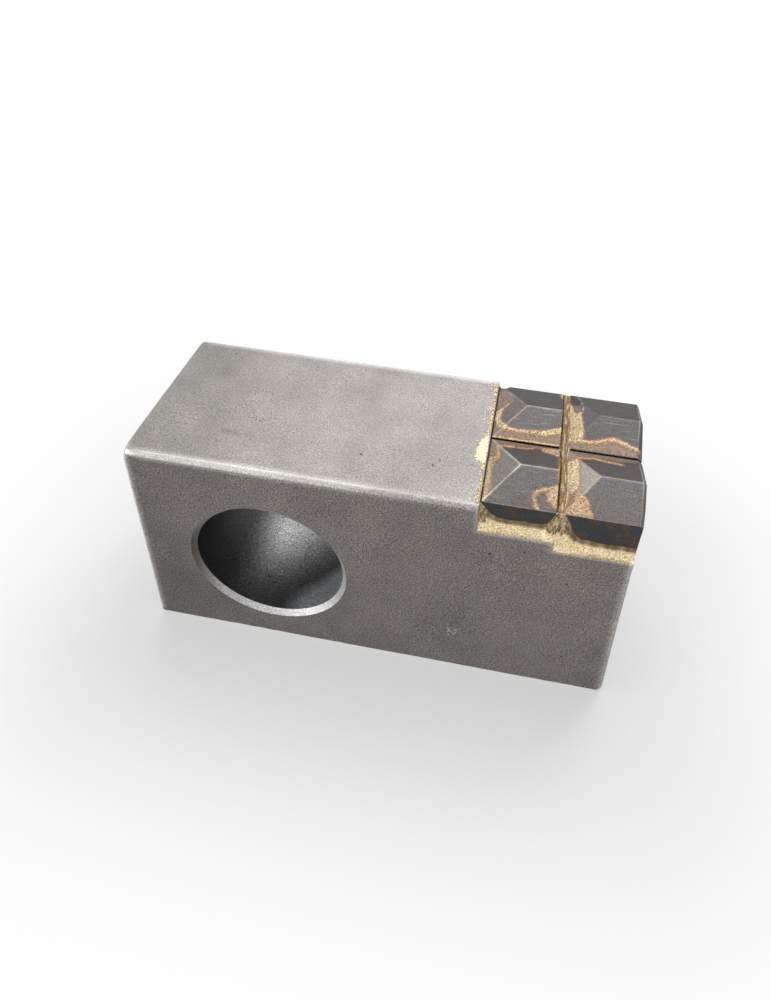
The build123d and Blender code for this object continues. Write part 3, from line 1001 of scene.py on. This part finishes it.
def brazing():
    """The frozen braze: a bed under the tips, the seams between them and a meniscus on each ledge."""
    cell = 0.3
    edge_y = side_y - ledge_bevel
    xs = np.linspace(pocket_x, braze_high[0], int(round((braze_high[0] - pocket_x) / cell)) + 1)
    across = np.linspace(0, tip_face_y, int(round(tip_face_y / cell)) + 1)
    climbing = tip_face_y + (edge_y - tip_face_y) * np.linspace(0, 1, 17)[1:] ** 2
    half_ys = np.concatenate([across, climbing])
    ys = np.concatenate([-half_ys[:0:-1], half_ys])
    x, y, flat = plan_grid(xs, ys)
    lumps = wobble(flat, 3.0, 5)
    grains = wobble(flat, 0.8, 9)
    seat = inner_seat_z + (outer_seat_z - inner_seat_z) * smooth(x, step_x - 0.2, step_x + 0.2)
    lip = seat + 0.35

    # The meniscus is hollow, but full in the corner of the pocket and below the column seam
    climb = np.interp(x, *zip(*CLIMB)) + 0.35 * lumps
    off_face = np.clip(np.abs(y) - tip_face_y, 0, None) / (edge_y - tip_face_y)
    full = np.maximum(smooth(x, 88, 85), smooth(np.abs(x - step_x - 1), 6, 3))
    hollow = 1 - np.sqrt(np.clip(1 - (1 - off_face) ** 2, 0, 1))
    fall = hollow * (1 - full) + (1 - off_face) ** 1.6 * full
    ledge = lip + (climb - lip) * fall + (0.12 * grains + 0.15 * lumps) * smooth(off_face, 1, 0.7)

    # The column seam has a groove that wanders, with streaks beside it; the film at the wall lies low
    streak = wobble(flat / np.array([1, 9, 1]), 0.5, 14)
    in_groove = smooth(np.abs(x - np.interp(y, *zip(*GROOVE)) + 0.15 * lumps), 0.4, 0.1)
    column = seam_z + 0.3 + 0.1 * lumps + 0.1 * grains + 0.15 * streak - 0.4 * in_groove
    column += 0.25 * smooth(x, outer_low[0] - 0.9, outer_low[0] + 0.3)
    row = seam_z - 0.6 + 0.2 * lumps + 0.15 * grains
    by_tip = smooth(x, inner_low[0] - 0.2, inner_low[0])
    film = seam_z - 0.7 + 0.2 * lumps + 0.1 * grains + 0.7 * by_tip

    # Each kind of place reaches at least one cell under the tips beside it
    in_column = (x > inner_high[0] - cell - 0.01) & (x < outer_low[0] + 1.01)
    in_row = np.abs(y) < seam_half + cell + 0.01
    in_film = x < inner_low[0] + cell + 0.01
    on_ledge = np.abs(y) > tip_face_y - cell - 0.01
    z = seat + braze_film
    for place, height in ((in_row, row), (in_film, film), (in_column, column)):
        z = np.where(place, height, z)
    z = np.where(on_ledge, np.minimum(ledge, seam_z + 0.4), z)

    rise = (z - lip) / np.maximum(climb - lip, 0.5)
    ledge_tone = -0.2 + 0.35 * wobble(flat, 2.5, 23) + 1.1 * smooth(rise, 0.35, 0.7)
    merging = 0.15 * smooth(x, outer_low[0] - 1.6, outer_low[0] + 0.2)
    column_tone = 1.05 + 0.8 * streak + 0.5 * in_groove - merging
    top = np.stack([x, y, z], 1)
    run_out_tone = 0.75 + 0.9 * wobble(top, 0.8, 31)
    oxide = np.full(len(x), 0.3)
    film_tone = 0.9 - 0.45 * by_tip
    for place, tone in ((in_column, column_tone), (in_film, film_tone), (in_row & ~in_column, 1.1)):
        oxide = np.where(place, tone, oxide)
    oxide = np.where(on_ledge, ledge_tone, oxide)
    oxide = np.where(on_ledge & (full > 0.5) & (z > 44), run_out_tone, oxide)

    # The ends of the ledges follow the rounded corners of the block
    corner = np.array([body_high[0] - edge_radius, side_y - edge_radius])
    beyond = np.stack([x - corner[0], np.abs(y) - corner[1]], 1)
    distance = np.linalg.norm(beyond, axis=1)
    corner_radius = edge_radius - ledge_bevel
    outside = (beyond > 0).all(1) & (distance > corner_radius)
    pull = corner_radius / np.maximum(distance, 1e-6)
    top[outside, 0] = (corner[0] + beyond[:, 0] * pull)[outside]
    top[outside, 1] = (np.sign(y) * (corner[1] + beyond[:, 1] * pull))[outside]

    def seat_at(x_mm):
        return inner_seat_z if x_mm < step_x else outer_seat_z

    mesh = frozen("brazing", xs, ys, top, oxide, seat_at)
    return finish_piece(mesh, "brazing", braze_finish, "braze", "braze_filler", crease=70)


brazing()

# Where the smear of braze on the rim of the pocket ends: Y and X in mm, read off
RIM_SMEAR = [
    (-35, 82.6), (-33, 81.4), (-30, 82.2), (-24, 82.4), (-18, 82.1), (-14.5, 81.6), (-13.2, 79.4),
    (-11.5, 78.6), (-8, 79.2), (-4, 79.5), (-1, 80.4), (2, 81.5), (5, 82.2), (8, 81.6), (14, 82.3),
    (20, 81.9), (26, 82.3), (31, 81.8), (35, 82.4),
]


def rim_smear():
    """A thin ragged skin of braze that ran over the rim of the pocket, closed under the steel's face."""
    cell = 0.25
    low_x, high_x = 76.5, pocket_x + 0.05
    half_y = side_y - edge_radius
    xs = np.linspace(low_x, high_x, int(round((high_x - low_x) / cell)) + 1)
    ys = np.linspace(-half_y, half_y, int(round(2 * half_y / cell)) + 1)
    x, y, flat = plan_grid(xs, ys)
    bulge = smooth(np.abs(y + 7), 8, 4)
    ragged = 0.9 * wobble(flat, 2.2, 4) + (0.7 + 0.5 * bulge) * wobble(flat, 0.8, 6)
    skin = smooth(x - np.interp(y, *zip(*RIM_SMEAR)) + ragged, -0.25, 0.35)
    z = top_z - 0.45 + skin * (0.55 + 0.08 * wobble(flat, 1.1, 12)) - 0.4 * smooth(x, high_x - 0.7, high_x)
    by_film = 0.9 * smooth(x, high_x - 0.7, high_x - 0.2)
    oxide = 0.6 - 0.5 * bulge + 0.9 * wobble(flat, 0.7, 17) + by_film
    mesh = frozen("rim_smear", xs, ys, np.stack([x, y, z], 1), oxide, lambda x_mm: top_z - 0.9)
    return finish_piece(mesh, "rim_smear", braze_finish, "braze", crease=70)


rim_smear()


def spatter_tree():
    """Geometry nodes for beads of braze that spat on the steel: flattened balls, scattered over a strip."""
    sizes = ("Beads per Area", "Smallest", "Largest", "Flatness")
    kinds = {"Geometry": ("Strip",), "Float": sizes, "Int": ("Seed",), "Material": ("Finish",)}
    tree, given = new_shape("braze_spatter", **kinds)
    spread = {"Mesh": given["Strip"], "Density": given["Beads per Area"], "Seed": given["Seed"]}
    points = add(tree, "GeometryNodeDistributePointsOnFaces", {"distribute_method": "RANDOM", **spread})
    ball = add(tree, "GeometryNodeMeshIcoSphere", {"Radius": 1.0, "Subdivisions": 2})
    limits = {"Min": given["Smallest"], "Max": given["Largest"], "Seed": given["Seed"]}
    size = add(tree, "FunctionNodeRandomValue", {"data_type": "FLOAT", **limits})
    height = add(tree, "ShaderNodeMath", {"operation": "MULTIPLY", 0: size, 1: given["Flatness"]})
    shape = add(tree, "ShaderNodeCombineXYZ", {"X": size, "Y": size, "Z": height})
    beads = add(tree, "GeometryNodeInstanceOnPoints", {"Points": points, "Instance": ball, "Scale": shape})
    return end_shape(tree, beads, given["Finish"])


def spatter():
    """Beads beside the smear on the rim, thickest where it bulges."""
    strips = [((79.5, -20), (83.2, 34)), ((79.0, -34), (83.2, -20)), ((77.5, -14), (81.5, -1))]
    mesh = bpy.data.meshes.new("strip")
    z = (top_z - 0.05) * MM  # just under the steel's face
    corners = []
    for (x0, y0), (x1, y1) in strips:
        corners += [(x * MM, y * MM, z) for x, y in ((x0, y0), (x1, y0), (x1, y1), (x0, y1))]
    mesh.from_pydata(corners, [], [tuple(range(4 * i, 4 * i + 4)) for i in range(len(strips))])
    helper = linked("strip", mesh)
    per_square_mm = 0.45
    values = {
        "Beads per Area": per_square_mm / MM**2,
        "Smallest": 0.1 * MM,
        "Largest": 0.34 * MM,
        "Flatness": 0.6,
        "Seed": 4,
        "Finish": braze_finish,
    }
    grown(helper, spatter_tree(), values)
    return finish_piece(applied(helper, "braze_spatter"), "braze_spatter", braze_finish, "braze", crease=180)


spatter()


# Floor, light and camera

# Softboxes: place, width and length in metres, and brightness, where 1 is white
SOFTBOXES = {
    "overhead": ((0.15, 0.45, 1.0), 1.4, 1.4, 0.8),
    "back_right": ((0.45, 0.75, 0.95), 0.7, 0.7, 3.0),
    "back": ((-0.3, 0.7, 0.95), 0.8, 0.5, 1.4),
    "left_low": ((-1.05, -0.42, 0.32), 0.9, 0.7, 3.4),
}
ROOM = 0.3  # brightness of the light from all round


def studio():
    """A wide pale board under the hammer, the softboxes, and a white room that lights it softly."""
    floor = bpy.data.meshes.new("floor")
    half = 6.0
    z = body_low[2] * MM
    corners = [(x * half, y * half, z) for x, y in ((-1, -1), (1, -1), (1, 1), (-1, 1))]
    floor.from_pydata(corners, [], [(0, 1, 2, 3)])
    floor.materials.append(studio_floor())
    board = linked("floor", floor)

    target = Vector((0.04, 0, 0))
    for name, (place, width, length, brightness) in SOFTBOXES.items():
        lamp = bpy.data.lights.new(name, "AREA")
        lamp.shape = "RECTANGLE"
        lamp.size, lamp.size_y = width, length
        lamp.energy = brightness * width * length * np.pi
        box = linked(name, lamp)
        box.location = place
        box.rotation_euler = (target - Vector(place)).to_track_quat("-Z", "Y").to_euler()

    world = bpy.data.worlds.new("studio")
    bpy.context.scene.world = world
    world.use_nodes = True
    tree = world.node_tree
    tree.nodes.clear()
    room = add(tree, "ShaderNodeBackground", {"Color": "#ffffff", "Strength": ROOM})
    backdrop = add(tree, "ShaderNodeBackground", {"Color": "#ffffff", "Strength": 1.0})
    shown = add(tree, "ShaderNodeMixShader", {0: looked_at(tree), 1: room, 2: backdrop})
    add(tree, "ShaderNodeOutputWorld", {"Surface": shown})


def camera():
    """The photo's view: where the lens stood, how it was turned, and where its axis meets the picture."""
    azimuth, tilt, roll = radians(8.28), radians(58.23), radians(2.55)
    lens = bpy.data.cameras.new("camera")
    lens.lens = 26.94
    lens.shift_x, lens.shift_y = -0.0604, -0.2284
    lens.clip_start, lens.clip_end = 0.01, 20
    eye = linked("camera", lens)
    eye.location = (0.09472, -0.21947, 0.26564)
    turn = Matrix.Rotation(azimuth, 3, "Z") @ Matrix.Rotation(tilt, 3, "X") @ Matrix.Rotation(roll, 3, "Z")
    eye.rotation_euler = turn.to_euler()
    bpy.context.scene.camera = eye


studio()
camera()
bpy.context.scene.view_settings.view_transform = "Standard"
